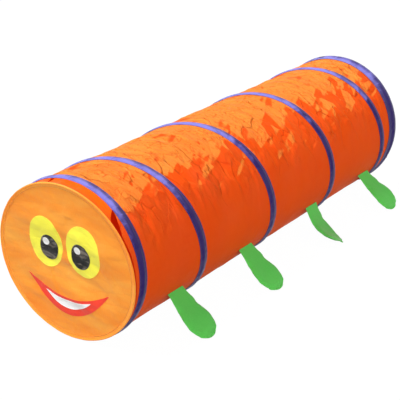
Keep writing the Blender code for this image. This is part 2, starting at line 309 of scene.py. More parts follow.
def blend_colour(share, first, second, strength=None):
    """The result of mixing two colours by a share, at a strength."""
    if strength is not None:
        share = times(share, strength)
    mixer = share.id_data.nodes.new("ShaderNodeMix")
    mixer.data_type = "RGBA"
    feed({socket.identifier: socket for socket in mixer.inputs}, {
        "Factor_Float": share, "A_Color": first, "B_Color": second
    })
    return next(socket for socket in mixer.outputs if socket.identifier == "Result_Color")


def tinted(colour, share, base):
    """A share of a colour over a grey base."""
    return tuple(base + share * c for c in colour[:3]) + (1,)


def effect(name, numbers, outputs):
    """A node group that takes a place on the cloth and some numbers, and its two ends' sockets."""
    group = bpy.data.node_groups.new(name, "ShaderNodeTree")
    group.interface.new_socket(name="Cloth", in_out="INPUT", socket_type="NodeSocketVector")
    for label, value in numbers.items():
        socket = group.interface.new_socket(
            name=label, in_out="INPUT", socket_type="NodeSocketFloat"
        )
        socket.default_value = value
    for label in outputs:
        group.interface.new_socket(name=label, in_out="OUTPUT", socket_type="NodeSocketFloat")
    given = group.nodes.new("NodeGroupInput").outputs
    return group, given, group.nodes.new("NodeGroupOutput").inputs


def applied(group, **values):
    """The outputs of a shared effect where a material uses it."""
    return wire_up("ShaderNodeGroup", values, node_tree=group)


def weave_effect():
    """Plain weave: crossing threads at a count to the metre, as a height and a tone."""
    group, given, result = effect("plain weave", {"Threads": 1500.0}, ("Height", "Tone"))
    place = split(given["Cloth"])
    spin = times(given["Threads"], math.tau)
    warp, weft = (maths("SINE", times(place[way], spin)) for way in (0, 1))
    slubs = clouds(vector_maths("MULTIPLY", given["Cloth"], SLUB_STRETCH), detail=2.0)
    feed(result, {"Height": times(warp, weft), "Tone": slubs["Fac"]})
    return group


def crease_effect():
    """Fine creases left by packing: sharp lines between facets, warped so that none is straight,
    and line masks for painted shade along them.
    """
    group, given, result = effect(
        "packing creases", {"Size": 0.02}, ("Height", "Crease shade", "Facets", "Facet tone", "Fine crease shade")
    )
    cloth, size = given["Cloth"], given["Size"]
    scale = maths("DIVIDE", 1.0, size)
    bent = clouds(cloth, scale, 2.0)
    offset = vector_maths("SUBTRACT", bent["Color"], (0.5, 0.5, 0.5))
    offset = vector_maths("SCALE", offset, times(size, 0.9))
    place = vector_maths("ADD", cloth, offset)
    coarse, fine, network = (
        cells(place, times(scale, finer), "DISTANCE_TO_EDGE")["Distance"]
        for finer in (1.0, *FINER_CREASES)
    )
    both = times(maths("MINIMUM", fine, 0.14), FINE_CREASES, maths("MINIMUM", coarse, 0.16))
    thin = ramp(network, 0.01, 0.09, 1.0, 0.0)
    broken = ramp(bent["Fac"], 0.47, 0.55)
    facet = cells(place, times(scale, 0.6), "SMOOTH_F1", Smoothness=0.15)
    tilt = vector_maths("SUBTRACT", facet["Color"], (0.5, 0.5, 0.5))
    arm = vector_maths("SUBTRACT", place, facet["Position"])
    rise = vector_maths("DOT_PRODUCT", tilt, arm)
    wide = times(scale, 0.7)
    gentle = clouds(cloth, wide, 0.0)["Color"]
    gentle = vector_maths("SCALE", gentle, times(size, 0.8))
    patch = cells(vector_maths("ADD", gentle, cloth), wide)["Color"]
    feed(result, {
        "Height": both, "Crease shade": ramp(coarse, 0.0, 0.06, 1.0, 0.0),
        "Fine crease shade": times(thin, broken), "Facets": times(rise, scale),
        "Facet tone": split(patch)[0],
    })
    return group


def soiling_effect():
    """Light soiling in soft patches, as a mask from 0 to 1."""
    group, given, result = effect("soiling", {}, ("Mask",))
    cloud = clouds(given["Cloth"], 9.0, 5.0, Roughness=0.62)
    feed(result, {"Mask": ramp(cloud["Fac"], 0.42, 0.72)})
    return group


def crushing_and_painted_sunlight_effect():
    """How crushed the upper side is, as a mask for creases, and a painted sunlit patch over the
    top, as a colour mask.
    """
    group, given, result = effect(
        "crushing_and_painted_sunlight", {"Facet": 0.5, "Edge": 0.7, "Softness": 0.1}, ("Crushed", "Painted sunlight")
    )
    around, lengthwise = split(given["Cloth"])[:2]
    turn = times(maths("DIVIDE", around, cover_round), math.tau)
    from_ridge = maths("ABSOLUTE", times(cover_round, -0.5, around))
    slanted = wire_up("ShaderNodeCombineXYZ", {
        0: times(from_ridge, 0.8), 1: times(from_ridge, 1.8, lengthwise)
    })[0]
    upward = times(clouds(slanted, 12.0, 1.2)["Fac"], CLOUD_SHARE, -CLOUD_SHARE / 2)
    upward = times(maths("COSINE", turn), -RIDGE_SHARE, upward)
    upward = maths("ADD", upward, times(given["Facet"], FACET_SHARE, -FACET_SHARE / 2))
    past = maths("SUBTRACT", upward, given["Edge"])
    past = maths("DIVIDE", past, given["Softness"])
    feed(result, {
        "Crushed": ramp(upward, *CRUSHED_FROM_TO, LEAST_CRUSHED, 1.0),
        "Painted sunlight": ramp(past, 0.0, 1.0, kind="SMOOTHSTEP"),
    })
    return group


plain_weave = weave_effect()
packing_creases = crease_effect()
soiling = soiling_effect()
crushing_and_painted_sunlight = crushing_and_painted_sunlight_effect()


def opened(made):
    """The inputs of a material's shader, and the place on its cloth in metres."""
    made.use_nodes = True
    place = made.node_tree.nodes.new("ShaderNodeUVMap")
    place.uv_map = "UVMap"
    return made.node_tree.nodes["Principled BSDF"].inputs, place.outputs[0]


def taffeta(name, lit, deep, roughness=0.46, sheen=0.10, sheen_tint=(1.0, 0.30, 0.03, 1),
            crease=0.026, crease_depth=0.0008, crease_run=(1, 1, 1), soil=0.04, glow_through=0.0,
            specular=0.30, drift=3.5, facets=0.0, painted_sunlight=None):
    """Thin woven polyester: threads, creases with painted shade, random tone, a sheen of its own
    colour, and a painted sunlit top where given.
    """
    made = bpy.data.materials.new(name)
    shader, cloth = opened(made)
    run = vector_maths("MULTIPLY", cloth, crease_run)
    weave = applied(plain_weave, Cloth=cloth)
    creases = applied(packing_creases, Cloth=run, Size=crease)
    soiled = applied(soiling, Cloth=cloth)["Mask"]
    tone = times(weave["Tone"], 0.35, clouds(run, drift)["Fac"])
    colour = blend_colour(ramp(tone, 0.42, 0.95), deep, lit)
    # painted shade: the colour darkens along every crease line
    colour = blend_colour(creases["Crease shade"], colour, deep, 0.16)
    colour = blend_colour(soiled, colour, tinted(lit, 0.55, 0.16), soil)
    folds, planes = creases["Height"], creases["Facets"]
    # painted light: a lighter colour over the sunlit top, with a ragged edge round the crumples
    if painted_sunlight:
        tone = creases["Facet tone"]
        upper = applied(crushing_and_painted_sunlight, Cloth=cloth, Facet=tone, Edge=0.97, Softness=0.09)
        folds = times(folds, upper["Crushed"])
        planes = times(planes, upper["Crushed"])
        colour = blend_colour(upper["Painted sunlight"], colour, painted_sunlight)
        # painted shade along the fine crease lines, strongest where the top is crushed
        painted_crease_shade = times(creases["Fine crease shade"], upper["Crushed"])
        colour = blend_colour(painted_crease_shade, colour, deep, 0.70)
    normal = raised(planes, facets, raised(folds, crease_depth))
    feed(shader, {
        "Base Color": colour, "Roughness": times(soiled, SOILED_ROUGHER, roughness),
        "Normal": raised(weave["Height"], WEAVE_DEPTH, normal, 0.35),
        "Sheen Weight": sheen, "Sheen Roughness": 0.45, "Sheen Tint": sheen_tint,
        "Subsurface Weight": glow_through, "Subsurface Radius": (1.0, 0.55, 0.25),
        "Subsurface Scale": 0.003, "Specular IOR Level": specular,
        "Specular Tint": tinted(lit, 0.7, 0.3),
    })
    return made


def daylight_inside(made):
    """The tube's inner face glows where its UVs run past the outer face's length."""
    shader, cloth = opened(made)
    outer_length = rear_x - front_x - 2 * EDGE_LAP + 0.0002
    inner = maths("GREATER_THAN", split(cloth)[1], outer_length)
    feed(shader, {
        "Emission Color": blend_colour(inner, (0, 0, 0, 1), INNER_GLOW),
        "Emission Strength": INNER_GLOW_STRENGTH,
    })


orange_taffeta = taffeta(
    "orange_taffeta", ORANGE_LIT, ORANGE_DEEP, crease_depth=0.0030, crease_run=(0.5, 1, 1),
    glow_through=0.50, specular=0.01, facets=0.015, painted_sunlight=ORANGE_PAINTED_SUNLIGHT,
)
daylight_inside(orange_taffeta)


def cover_heights(x, turn):
    """How far the cloth stands off its mean radius, at places along and round the tunnel."""
    passes = np.stack([np.full_like(turn, front_x), *(coil_x(turn + k) for k in range(4)),
                       np.full_like(turn, rear_x)])
    passes[1] = np.where(turn < FLOOR_SEAM_TURN, front_x, passes[1])
    passes[4] = np.where(turn > 1 - FLOOR_SEAM_TURN, rear_x, passes[4])
    before = np.maximum(np.where(passes <= x, passes, -np.inf).max(axis=0), front_x)
    after = np.minimum(np.where(passes > x, passes, np.inf).min(axis=0), rear_x)
    span = np.maximum(after - before, 1e-4)
    share = np.clip((x - before) / span, 0, 1)
    bow = 4 * share * (1 - share) * np.clip(span / FULL_SPAN, 0, 1)
    top = np.clip(-np.cos(math.tau * turn), 0, 1)
    rear_gap = np.abs(x - after) - np.where(after > rear_x - 1e-6, REAR_TAPE_EXTRA, 0)
    gap = np.minimum(np.abs(x - before), np.maximum(rear_gap, 0))
    held = HELD_SHARE * tape_half
    free = eased(gap, held, held + FREE_REACH)
    places = round_axis(x, turn, cover_radius)
    height = -bow * (COVER_DRAW_IN + COVER_TOP_SAG * top)
    height += COVER_SWELL * soft_noise(places, SWELL_SIZE, 1) * free
    shoulder = np.exp(-((turn - SHOULDER_TURN) / SHOULDER_REACH) ** 2)
    rougher = CRUMPLED_BELOW + CRUMPLED_ABOVE * top + CRUMPLED_SHOULDER * shoulder
    rougher = rougher * (1 + CRUMPLED_UNEVEN * soft_noise(places, UNEVEN_SIZE, 2))
    folded = places * (1, CRUMPLE_STRETCH, CRUMPLE_STRETCH)
    folded[..., 0] += CRUMPLE_SLANT * places[..., 1]
    for seed, (size, depth) in enumerate(CRUMPLES, 3):
        height += depth * crumple(folded, size, seed) * free * rougher
    near = np.exp(-np.maximum(gap - tape_half, 0) / PUCKER_REACH) * free
    return height + PUCKER_DEPTH * soft_noise(places * PUCKER_STRETCH, PUCKER_SIZE, 9) * near


def skirt_reach(turn):
    """How far the cover's front edge runs on past the tape towards the disc, which leans away."""
    foot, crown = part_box("face_hem")[1].x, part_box("face_hem")[0].x
    disc_x = foot + (crown - foot) * (1 - np.cos(math.tau * turn)) / 2
    side = np.interp(np.maximum(turn, 1 - turn), SKIRT_TURNS, (0, 1, 1, 0))
    return np.maximum(front_x - tape_half - disc_x, 0) * SKIRT_SHARE * side


def cover_tube(name, first_x, last_x, stations, uv_start, tuck=None):
    """A tube of the cloth; a turned edge runs on between two places just inside the main cloth."""
    x = np.linspace(first_x, last_x, stations)
    turn = np.arange(COVER_SIDES) / COVER_SIDES
    turn_grid, x_grid = np.meshgrid(turn, x, indexing="ij")
    under = np.clip((front_x - x_grid) / edge_half, 0, 1)
    x_grid = x_grid - under * skirt_reach(turn_grid)
    radius = cover_radius - COVER_INSET + cover_heights(x_grid, turn_grid)
    if tuck:
        radius -= EDGE_TUCK * np.clip((x_grid - tuck[0]) / (tuck[1] - tuck[0]), 0, 1)
    outer = round_axis(x_grid, turn_grid, radius)
    inner = round_axis(x_grid, turn_grid, radius - COVER_THICKNESS)
    along = np.linspace(0, cover_round, COVER_SIDES + 1)
    return two_faced(name, outer, inner, along, x - uv_start, COVER_THICKNESS, orange_taffeta)


def pack_flat(piece, body):
    """Rides a piece of the tube on an end ring, with a mesh of its own."""
    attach(piece, body)
    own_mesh(piece)


def fold_rear(piece):
    """Rides a piece of the rear edge on the rear ring, with a mesh of its own."""
    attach(piece, "rear_hoop")
    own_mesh(piece)


tape_reach = 1.14 * tape_half
gather_x = front_x + tape_reach
rear_fold_x = rear_x - tape_reach - REAR_TAPE_EXTRA
cover_cloth = cover_tube(
    "cover_cloth", front_x + EDGE_LAP, rear_x - EDGE_LAP, COVER_STATIONS, front_x + EDGE_LAP
)
front_edge = cover_tube(
    "cover_front_edge", front_x - edge_half, gather_x + 0.0004, EDGE_STATIONS,
    front_x - edge_half, [front_x + at for at in FRONT_TUCK],
)
rear_edge = cover_tube(
    "cover_rear_edge", rear_fold_x, rear_x + edge_half, EDGE_STATIONS, front_x - edge_half,
    [rear_x + at for at in REAR_TUCK],
)
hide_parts("cover_panel_1", "cover_panel_2", "cover_panel_3", "cover_panel_4")
pack_flat(cover_cloth, "front_hoop")
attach(front_edge, "front_hoop")
fold_rear(rear_edge)

# WIRES
# Hard-drawn spring steel: one ring at each end of the tunnel, and one wire coiled between them.
# Each ring's two ends are pushed into a short crimped sleeve. All of it is hidden in the tapes.

WIRE_RADIUS = 0.0012
WIRE_SIDES = 10
WIRE_RISE = 0.0004
hoop_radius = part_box("front_hoop_wire")[1].z - WIRE_RADIUS - axis_z + WIRE_RISE
RING_ENDS = (0.0005, 0.9995)
RING_STATIONS = 221
COIL_STATIONS = 700
SLEEVE_HALF = 0.011
SLEEVE_RADII = (0.00140, 0.00178)
SLEEVE_TURN = 5 / 36
SLEEVE_STATIONS = 23
SLEEVE_SIDES = 16
CRIMPS = (-0.005, 0.005)
CRIMP_WIDTH = 0.0012
CRIMP_DEPTH = 0.10


def metal(name, colour, roughness, streak=220.0):
    """Bare drawn or crimped metal, with faint marks along it and dull patches."""
    made = bpy.data.materials.new(name)
    shader, place = opened(made)
    stretched = vector_maths("MULTIPLY", place, (streak, streak * 14, 1.0))
    marks = clouds(stretched)["Fac"]
    feed(shader, {
        "Base Color": blend_colour(marks, colour, tinted(colour, 0.6, 0)), "Metallic": 1.0,
        "Roughness": times(marks, 0.25, roughness),
        "Normal": raised(marks, 0.0001, strength=0.3),
    })
    return made


spring_steel = metal("spring_steel", (0.48, 0.49, 0.51, 1), 0.30)
crimp_brass = metal("crimp_brass", (0.72, 0.55, 0.25, 1), 0.32, 90.0)


def drawn_wire(name, along, place):
    """A round wire from the distances along it and the way that its section's points are placed."""
    spin = spokes(WIRE_SIDES)
    rings = place(WIRE_RADIUS * np.cos(spin), WIRE_RADIUS * np.sin(spin))
    across = np.linspace(0, math.tau * WIRE_RADIUS, WIRE_SIDES + 1)
    return sewn(name, rings, along, across, spring_steel, ring_loop=False)


def wound_wire(name, turns, x):
    """A wire that follows the tunnel's wall at the middle of its tape's channel."""
    return drawn_wire(name, turns * cover_round, lambda side, up: round_axis(
        x + side, turns[:, None], hoop_radius + up
    ))


def crimped_sleeve(name, place, depth=CRIMP_DEPTH):
    """A short tube over a ring's two ends, squeezed twice by the crimping tool."""
    inner, outer = SLEEVE_RADII
    at = np.linspace(-SLEEVE_HALF, SLEEVE_HALF, SLEEVE_STATIONS)
    squeeze = 1 - depth * sum(np.exp(-((at - crimp) / CRIMP_WIDTH) ** 2) for crimp in CRIMPS)
    radius = np.concatenate([outer * squeeze, np.full(SLEEVE_STATIONS, inner)])
    spoke = spokes(SLEEVE_SIDES)[:, None]
    rings = place(
        np.concatenate([at, at[::-1]]), radius * np.cos(spoke), radius * np.sin(spoke)
    )
    along = np.linspace(0, math.tau * outer, SLEEVE_SIDES + 1)
    across = np.linspace(0, 4 * SLEEVE_HALF, 2 * SLEEVE_STATIONS + 1)
    return sewn(name, rings, along, across, crimp_brass)


for end_name, x_end in (("front", front_x), ("rear", rear_x)):
    ring_turns = SLEEVE_TURN + np.linspace(*RING_ENDS, RING_STATIONS)
    ring = wound_wire(f"{end_name}_ring_wire", ring_turns, x_end)
    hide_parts(f"{end_name}_hoop_wire")
    crimp = crimped_sleeve(f"{end_name}_ring_crimp", lambda at, side, up: round_axis(
        x_end + side, SLEEVE_TURN + at / (math.tau * hoop_radius), hoop_radius + up
    ))
    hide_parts(f"{end_name}_wire_sleeve")
    for piece, finish_slot in ((ring, "spring_steel"), (crimp, "crimp_brass")):
        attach(piece, f"{end_name}_hoop")

COIL_CLEARANCE = 0.001
coil_clear = 2.06 * tape_half + COIL_CLEARANCE
coil_start = coil_clear / (seam_x[1] - seam_x[0])
coil_end = 4 - coil_clear / (seam_x[4] - seam_x[3])
coil_turns = np.linspace(coil_start, coil_end, COIL_STATIONS)
coil_wire = wound_wire("coiled_wire", coil_turns, coil_x(coil_turns)[:, None])
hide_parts("coil_wire")
pack_flat(coil_wire, "front_hoop")

# TAPES
# Purple satin binding, folded over the wire and sewn to the cover by a row of stitches along each
# edge. It pulls tight over the wire at the top and is looser down the sides, where it puckers.

TAPE_STEP = 0.0045
TAPE_CLOTH = 0.0006
TAPE_EDGE_RISE = 0.0009
TAPE_CREST_ROOM = 0.0002
TAPE_CREST = front_band[1].z - axis_z - cover_radius - TAPE_CREST_ROOM
TAPE_SHOULDER = 0.0034
TAPE_TENT = 0.72
TAPE_ACROSS = np.array([-1, -0.93, -0.80, -0.64, -0.46, -0.30, -0.17, -0.07,
                        0.07, 0.17, 0.30, 0.46, 0.64, 0.80, 0.93, 1])
TAPE_PUCKER = 0.0024
FINE_PUCKER, WIDE_PUCKER, WIDE_SHARE = 0.013, 0.028, 0.6
PUCKER_RUN = (0.6, 1, 1)
TAPE_TIGHT, TAPE_LOOSE, LOOSE_POWER = 0.45, 0.55, 1.5
TAPE_LOWEST = 0.8
TAPE_WANDER = 0.07
WANDER_SIZE = 0.030
TAPE_SPREAD = 0.10
TAPE_END_ROOM = (0.12, 0.08)
TAPE_INNER_LOW = 0.00015
ROW_INSET = 0.0022
STITCH_THICKNESS = 0.0006
STITCH_DEPTH = 0.0005
TAPE_STITCH = 0.0042
TAPE_INNER_NARROWER = 0.995
# painted light: the slope pair lightens the tape's front slope and darkens its rear one; the
# lavender purple is a painted highlight for its top
LIT_SLOPE = (0.55, -0.30)
PURPLE_LIT = (0.036, 0.017, 0.170, 1)
PURPLE_DEEP = (0.012, 0.004, 0.050, 1)
PURPLE_PAINTED_SUNLIGHT = (0.210, 0.190, 0.600, 1)
PURPLE_SHEEN = (0.72, 0.74, 1.0, 1)
THREAD = (0.10, 0.07, 0.34, 1)


def stitch_effect():
    """A row of short stitches at a place across the cloth, as a mask and a height."""
    group, given, result = effect("stitch row", {"Row": 0.0, "Pitch": 0.004}, ("Mask", "Height"))
    along, across = split(given["Cloth"])[:2]
    step = maths("FRACT", maths("DIVIDE", along, given["Pitch"]))
    step = maths("ABSOLUTE", maths("SUBTRACT", step, 0.5))
    off = maths("ABSOLUTE", maths("SUBTRACT", across, given["Row"]))
    off = maths("DIVIDE", off, STITCH_THICKNESS)
    mask = times(ramp(times(step, 2.0), 0.62, 0.80, 1.0, 0.0), ramp(off, 0.55, 1.0, 1.0, 0.0))
    valley = ramp(off, 0.0, 3.0, -0.8, 0.0)
    feed(result, {"Mask": mask, "Height": maths("ADD", mask, valley)})
    return group


stitch_row = stitch_effect()


def stitched(cloth, row, pitch, depth, thread, colour, normal):
    """A cloth's colour and normal with a row of stitches sewn over them."""
    stitches = applied(stitch_row, Cloth=cloth, Row=row, Pitch=pitch)
    colour = blend_colour(stitches["Mask"], colour, thread)
    return colour, raised(stitches["Height"], depth, normal)


def satin(name):
    """Satin tape: long glossy floats across it, a painted lavender highlight over its top, painted
    light on its front slope, and a row of stitches near each edge.
    """
    made = bpy.data.materials.new(name)
    shader, cloth = opened(made)
    weave = applied(plain_weave, Cloth=cloth, Threads=2200.0)
    creases = applied(packing_creases, Cloth=cloth, Size=0.011)
    soiled = applied(soiling, Cloth=cloth)["Mask"]
    colour = blend_colour(times(weave["Tone"], 0.6, 0.15), PURPLE_DEEP, PURPLE_LIT)
    # painted light: lighter across the tape's front slope, darker across its rear one
    slope = ramp(split(cloth)[1], 0.6 * tape_half, 1.4 * tape_half, *LIT_SLOPE, "SMOOTHSTEP")
    slope = times(creases["Facet tone"], 0.5, slope)
    # painted highlight: lavender over the tape's top, shaped by the slope above
    upper = applied(crushing_and_painted_sunlight, Cloth=cloth, Facet=slope, Edge=0.82, Softness=0.60)
    colour = blend_colour(upper["Painted sunlight"], colour, PURPLE_PAINTED_SUNLIGHT)
    colour = blend_colour(soiled, colour, tinted(PURPLE_LIT, 0.5, 0.22), 0.10)
    normal = raised(creases["Height"], 0.0010)
    for row in (ROW_INSET, 2 * tape_half - ROW_INSET):
        colour, normal = stitched(
            cloth, row, TAPE_STITCH, STITCH_DEPTH, THREAD, colour, normal
        )
    feed(shader, {
        "Base Color": colour, "Normal": raised(weave["Height"], WEAVE_DEPTH, normal, 0.3),
        "Roughness": times(soiled, SOILED_ROUGHER, 0.38),
        "Specular IOR Level": 0.12, "Specular Tint": PURPLE_SHEEN,
        "Sheen Weight": 0.16, "Sheen Roughness": 0.32, "Sheen Tint": PURPLE_SHEEN,
    })
    return made


purple_satin = satin("purple_satin")


def sewn_tape(name, turns, x, seed, top_turn, extra=0.0, loop=True):
    """A tape over its wire: tented from two sewn edges, with puckers that differ all along it."""
    turn = turns[:, None]
    sideways = np.abs(np.sin(math.tau * turn))
    places = round_axis(x + TAPE_ACROSS * tape_half, turn, cover_radius)
    slack = TAPE_TIGHT + TAPE_LOOSE * sideways ** LOOSE_POWER
    clear, rise = TAPE_END_ROOM
    room = np.clip(np.minimum(turn - clear, top_turn - clear - turn) / rise, 0, 1)
    wander = soft_noise(places[:, :1], WANDER_SIZE, seed)
    half = tape_half * (SEWN_SHARE + room * (TAPE_SPREAD * sideways + TAPE_WANDER * wander))
    side = TAPE_ACROSS * half - extra * room * (1 - TAPE_ACROSS) / 2
    away = np.maximum(np.abs(side) - TAPE_SHOULDER, 0) / (half - TAPE_SHOULDER)
    tent = TAPE_CREST + (TAPE_EDGE_RISE - TAPE_CREST) * np.clip(away, 0, 1) ** TAPE_TENT
    loose = np.clip(4 * away * (1 - away), 0, 1)
    pucker = soft_noise(places * PUCKER_RUN, FINE_PUCKER, seed + 1)
    pucker = pucker + WIDE_SHARE * soft_noise(places, WIDE_PUCKER, seed + 2)
    top = np.maximum(tent + TAPE_PUCKER * slack * loose * pucker, TAPE_EDGE_RISE * TAPE_LOWEST)
    low = np.maximum(top - TAPE_CLOTH, TAPE_INNER_LOW)
    outer = round_axis(x + side, turn, cover_radius + top)
    inner = round_axis(x + side * TAPE_INNER_NARROWER, turn, cover_radius + low)
    along = turns * cover_round
    if loop:
        along = np.append(along, along[0] + cover_round)
    across = (TAPE_ACROSS + 1) * tape_half
    return two_faced(name, outer, inner, along, across, TAPE_CLOTH, purple_satin, loop)


ring_steps = int(cover_round / TAPE_STEP)
for end_name, x_end, seed, extra in (
    ("front", front_x, 21, 0.0), ("rear", rear_x, 31, REAR_TAPE_EXTRA)
):
    ring_turns = np.arange(ring_steps) / ring_steps
    ring_tape = sewn_tape(f"{end_name}_ring_tape", ring_turns, x_end, seed, 1.0, extra)
    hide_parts(f"{end_name}_hoop_tape")
    if end_name == "front":
        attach(ring_tape, "front_hoop")
    else:
        fold_rear(ring_tape)

coil_steps = int((coil_end - coil_start) * ring_steps)
coil_turns = np.linspace(coil_start, coil_end, coil_steps)
coil_binding = sewn_tape(
    "coil_binding", coil_turns, coil_x(coil_turns)[:, None], 41, coil_end, loop=False
)
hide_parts("coil_tape")
pack_flat(coil_binding, "front_hoop")

# FACE DISC
# A disc of the same cloth in a lighter orange, pulled over its own wire ring and hemmed round it.
# It hangs flat but not tight: shallow folds cross it, and the hem's stitches gather small puckers.


def cad_points(node):
    """The vertices of a CAD piece."""
    return np.array([v.co for v in frame["nodes"][node].data.vertices])


disc_points = cad_points("face_panel")
disc_centre = disc_points.mean(axis=0)
disc_out = np.linalg.svd(disc_points - disc_centre)[2][2]
disc_out = disc_out * -np.sign(disc_out[0])
disc_up = np.array([disc_out[2], 0, -disc_out[0]])
disc_up = disc_up * np.sign(disc_up[2])
disc_right = np.array([0, -1.0, 0])
DISC_RINGS = 84
DISC_SIDES = 256
DISC_CLOTH = 0.0005
DISC_FOLD = 0.0058
FOLD_SLANT = math.radians(-14)
FOLD_CURVE = 0.10
FOLD_STRETCH = 0.25
WIDE_FOLD, NARROW_FOLD, NARROW_SHARE = 0.060, 0.030, 0.42
FOLD_FADE = 0.10
DISC_CRUMPLES = ((0.080, 0.005), (0.034, 0.0022))
GATHER_DEPTH, GATHER_SIZE = 0.0016, 0.022
GATHER_START, GATHER_REACH = 0.006, 0.030
HEM_WIDTH = 0.014
HEM_BEAD = 0.0029
HEM_LIP = (-HEM_WIDTH, -0.0128, -0.0118, -0.0104, -0.0086, -0.0070)
HEM_LIP_OUT = (0.0009, 0.0013, 0.0008, 0.0013, 0.0014, 0.0014)
BEAD_DEGREES = (150, 125, 95, 60, 30, 0, -30, -60, -95, -125, -150)
HEM_PUCKER, HEM_PUCKER_SIZE = 0.00055, 0.0075
HEM_FLAT_FROM, HEM_FLAT_RISE = -0.0062, 0.004
HEM_WAVE, HEM_WANDER, HEM_DRIFT_SIZE = 0.0004, 0.0005, 0.035
HEM_STITCH, HEM_STITCH_DEPTH = 0.0040, 0.0006
HEM_CLOSING = 0.002
DISC_UNDER_HEM = 0.0042
DISC_EDGE_INSET = 0.0003
HEM_THREAD = (0.55, 0.10, 0.02, 1)
FLAP_LIT = (0.99, 0.430, 0.062, 1)
FLAP_DEEP = (0.95, 0.225, 0.011, 1)


def cad_on_disc(node):
    """A CAD piece's vertices as two columns: to the right of the disc's middle, and up from it."""
    points = cad_points(node) - disc_centre
    return np.stack([points @ disc_right, points @ disc_up], axis=1)


disc_radius = np.hypot(*cad_on_disc("face_hem").T).max() - DISC_EDGE_INSET


def on_rim(angle):
    """Points round the disc's rim, in its own plane, for the noise that runs along it."""
    return np.stack([np.cos(angle), np.sin(angle), 0 * angle], axis=-1) * disc_radius


def on_disc(right, up, out):
    """Points measured from the disc's middle: to the viewer's right, up it, and out of it."""
    right, up, out = (each[..., None] for each in np.broadcast_arrays(right, up, out))
    return disc_centre + disc_right * right + disc_up * up + disc_out * out


def disc_folds(right, up):
    """How far the hanging cloth stands out of the disc's plane."""
    right, up = np.broadcast_arrays(right, up)
    angle = np.arctan2(up, right)
    along = right * math.cos(FOLD_SLANT) + up * math.sin(FOLD_SLANT)
    over = -right * math.sin(FOLD_SLANT) + up * math.cos(FOLD_SLANT)
    over = over + FOLD_CURVE * along * along / disc_radius
    stretched = np.stack([along * FOLD_STRETCH, over, 0 * along], axis=-1)
    folds = soft_noise(stretched, WIDE_FOLD, 51)
    folds = folds + NARROW_SHARE * soft_noise(stretched, NARROW_FOLD, 52)
    from_hem = disc_radius - HEM_WIDTH - np.hypot(right, up)
    inset = np.clip(from_hem / FOLD_FADE, 0, 1)
    held = inset * (2 - inset)
    height = DISC_FOLD * folds * held
    flat = np.stack([right, up, 0 * right], axis=-1)
    for seed, (size, depth) in enumerate(DISC_CRUMPLES, 54):
        height = height + depth * crumple(flat, size, seed) * held
    gather = soft_noise(on_rim(angle), GATHER_SIZE, 57)
    gather = gather * np.exp(-np.clip(from_hem, 0, 1) / GATHER_REACH)
    return height + GATHER_DEPTH * gather * np.clip(from_hem / GATHER_START, 0, 1)


flap_cloth = taffeta(
    "flap_taffeta", FLAP_LIT, FLAP_DEEP, roughness=0.36, sheen=0.35,
    sheen_tint=(1.0, 0.62, 0.25, 1), crease=0.036, crease_depth=0.0016, crease_run=(0.30, 1, 1),
    glow_through=0.15, drift=13.0,
)


def flat_piece(name, points, faces, lift, thickness, finish):
    """Cloth cut to a flat shape and laid on the disc's folds, with its cut edge closed."""
    points = np.asarray(points, float)
    right, up = points[:, 0], points[:, 1]
    height = disc_folds(right, up) + lift
    both = np.concatenate([on_disc(right, up, height + thickness), on_disc(right, up, height)])
    count = len(points)
    sides = {}
    for face in faces:
        for a, b in zip(face, face[1:] + face[:1]):
            if sides.pop((b, a), None) is None:
                sides[a, b] = True
    shell = [list(face) for face in faces]
    shell += [[i + count for i in face[::-1]] for face in faces]
    shell += [[b, a, a + count, b + count] for a, b in sides]
    uv = np.concatenate([points, points + [1.0, 0.0]])
    return smooth_piece(name, both, shell, uv[[c for face in shell for c in face]], finish)


def round_cut(rings, sides, radius_right, radius_up, right=0.0, up=0.0):
    """A filled oval: its points, and its faces wound to look out of the disc."""
    share = np.linspace(0, 1, rings + 1)[1:]
    grid_share, grid_angle = np.meshgrid(share, spokes(sides), indexing="ij")
    points = [[right, up]]
    points += np.stack([
        right + radius_right * grid_share * np.cos(grid_angle),
        up + radius_up * grid_share * np.sin(grid_angle),
    ], axis=-1).reshape(-1, 2).tolist()
    faces = [[0, 1 + i, 1 + (i + 1) % sides] for i in range(sides)]
    for low in range(1, 1 + (rings - 1) * sides, sides):
        faces += [
            [low + i, low + sides + i, low + sides + (i + 1) % sides, low + (i + 1) % sides]
            for i in range(sides)
        ]
    return points, faces


disc_cut = disc_radius - DISC_UNDER_HEM
disc_cloth = flat_piece(
    "face_cloth", *round_cut(DISC_RINGS, DISC_SIDES, disc_cut, disc_cut), -DISC_CLOTH / 2,
    DISC_CLOTH, flap_cloth,
)
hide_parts("face_panel")
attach(disc_cloth, "face_flap")


def hem_ring(finish):
    """The hem: two lips over the disc's edge, and a round bead where it turns round the wire."""
    angle = spokes(DISC_SIDES * 2)
    lip, lip_out, turn = np.array(HEM_LIP), np.array(HEM_LIP_OUT), np.radians(BEAD_DEGREES)
    inward = np.concatenate([lip, HEM_BEAD * np.cos(turn) - HEM_BEAD, lip[::-1]])
    outward = np.concatenate([lip_out, HEM_BEAD * np.sin(turn), -lip_out[::-1]])
    rim = on_rim(angle)[:, None]
    pucker = soft_noise(rim + 0 * inward[None, :, None], HEM_PUCKER_SIZE, 61)
    drift = soft_noise(rim, HEM_DRIFT_SIZE, 62)
    flat_part = np.clip((HEM_FLAT_FROM - inward) / HEM_FLAT_RISE, 0, 1)
    outward = outward + HEM_PUCKER * pucker * flat_part * np.sign(outward) + HEM_WAVE * drift
    radius = disc_radius + inward + HEM_WANDER * drift
    grid = angle[:, None]
    rings = on_disc(radius * np.cos(grid), radius * np.sin(grid), outward)
    across = run_up(np.hypot(np.diff(inward), np.diff(outward[0])))
    across = np.append(across, across[-1] + HEM_CLOSING)
    return sewn("face_hem_cloth", rings, np.append(angle, math.tau) * disc_radius, across, finish)


